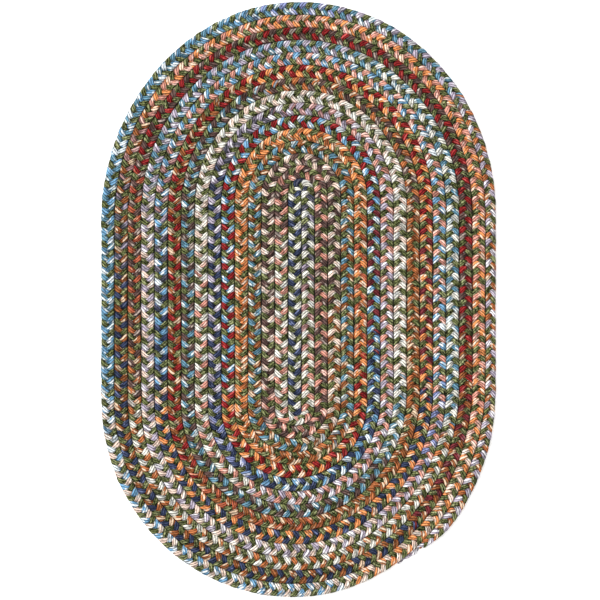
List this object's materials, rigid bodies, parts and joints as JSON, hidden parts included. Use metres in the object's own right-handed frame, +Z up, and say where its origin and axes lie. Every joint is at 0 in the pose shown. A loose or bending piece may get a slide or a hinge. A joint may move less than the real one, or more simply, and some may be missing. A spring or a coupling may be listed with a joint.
{
  "type": "oval braided rug",
  "caption": "Flat oval rug made of one long three-strand yarn braid wound into a spiral and laced turn to turn, with rounded rows on both sides.",
  "frame": {"origin": "on the surface that the rug lies on, under the middle of its bounding box", "axes": "+Z up, +Y along the rug's length, towards the end where the turns are round the centre line; the loose end of the braid is at the -Y end on the +X side"},
  "size_m": [0.6074, 0.915, 0.011],
  "materials": {
    "yarn_braid": "soft heathered wool-blend yarn, many colours over an olive green ground"
  },
  "bodies": {
    "root": {"braided_rug": "yarn_braid"}
  },
  "joints": []
}
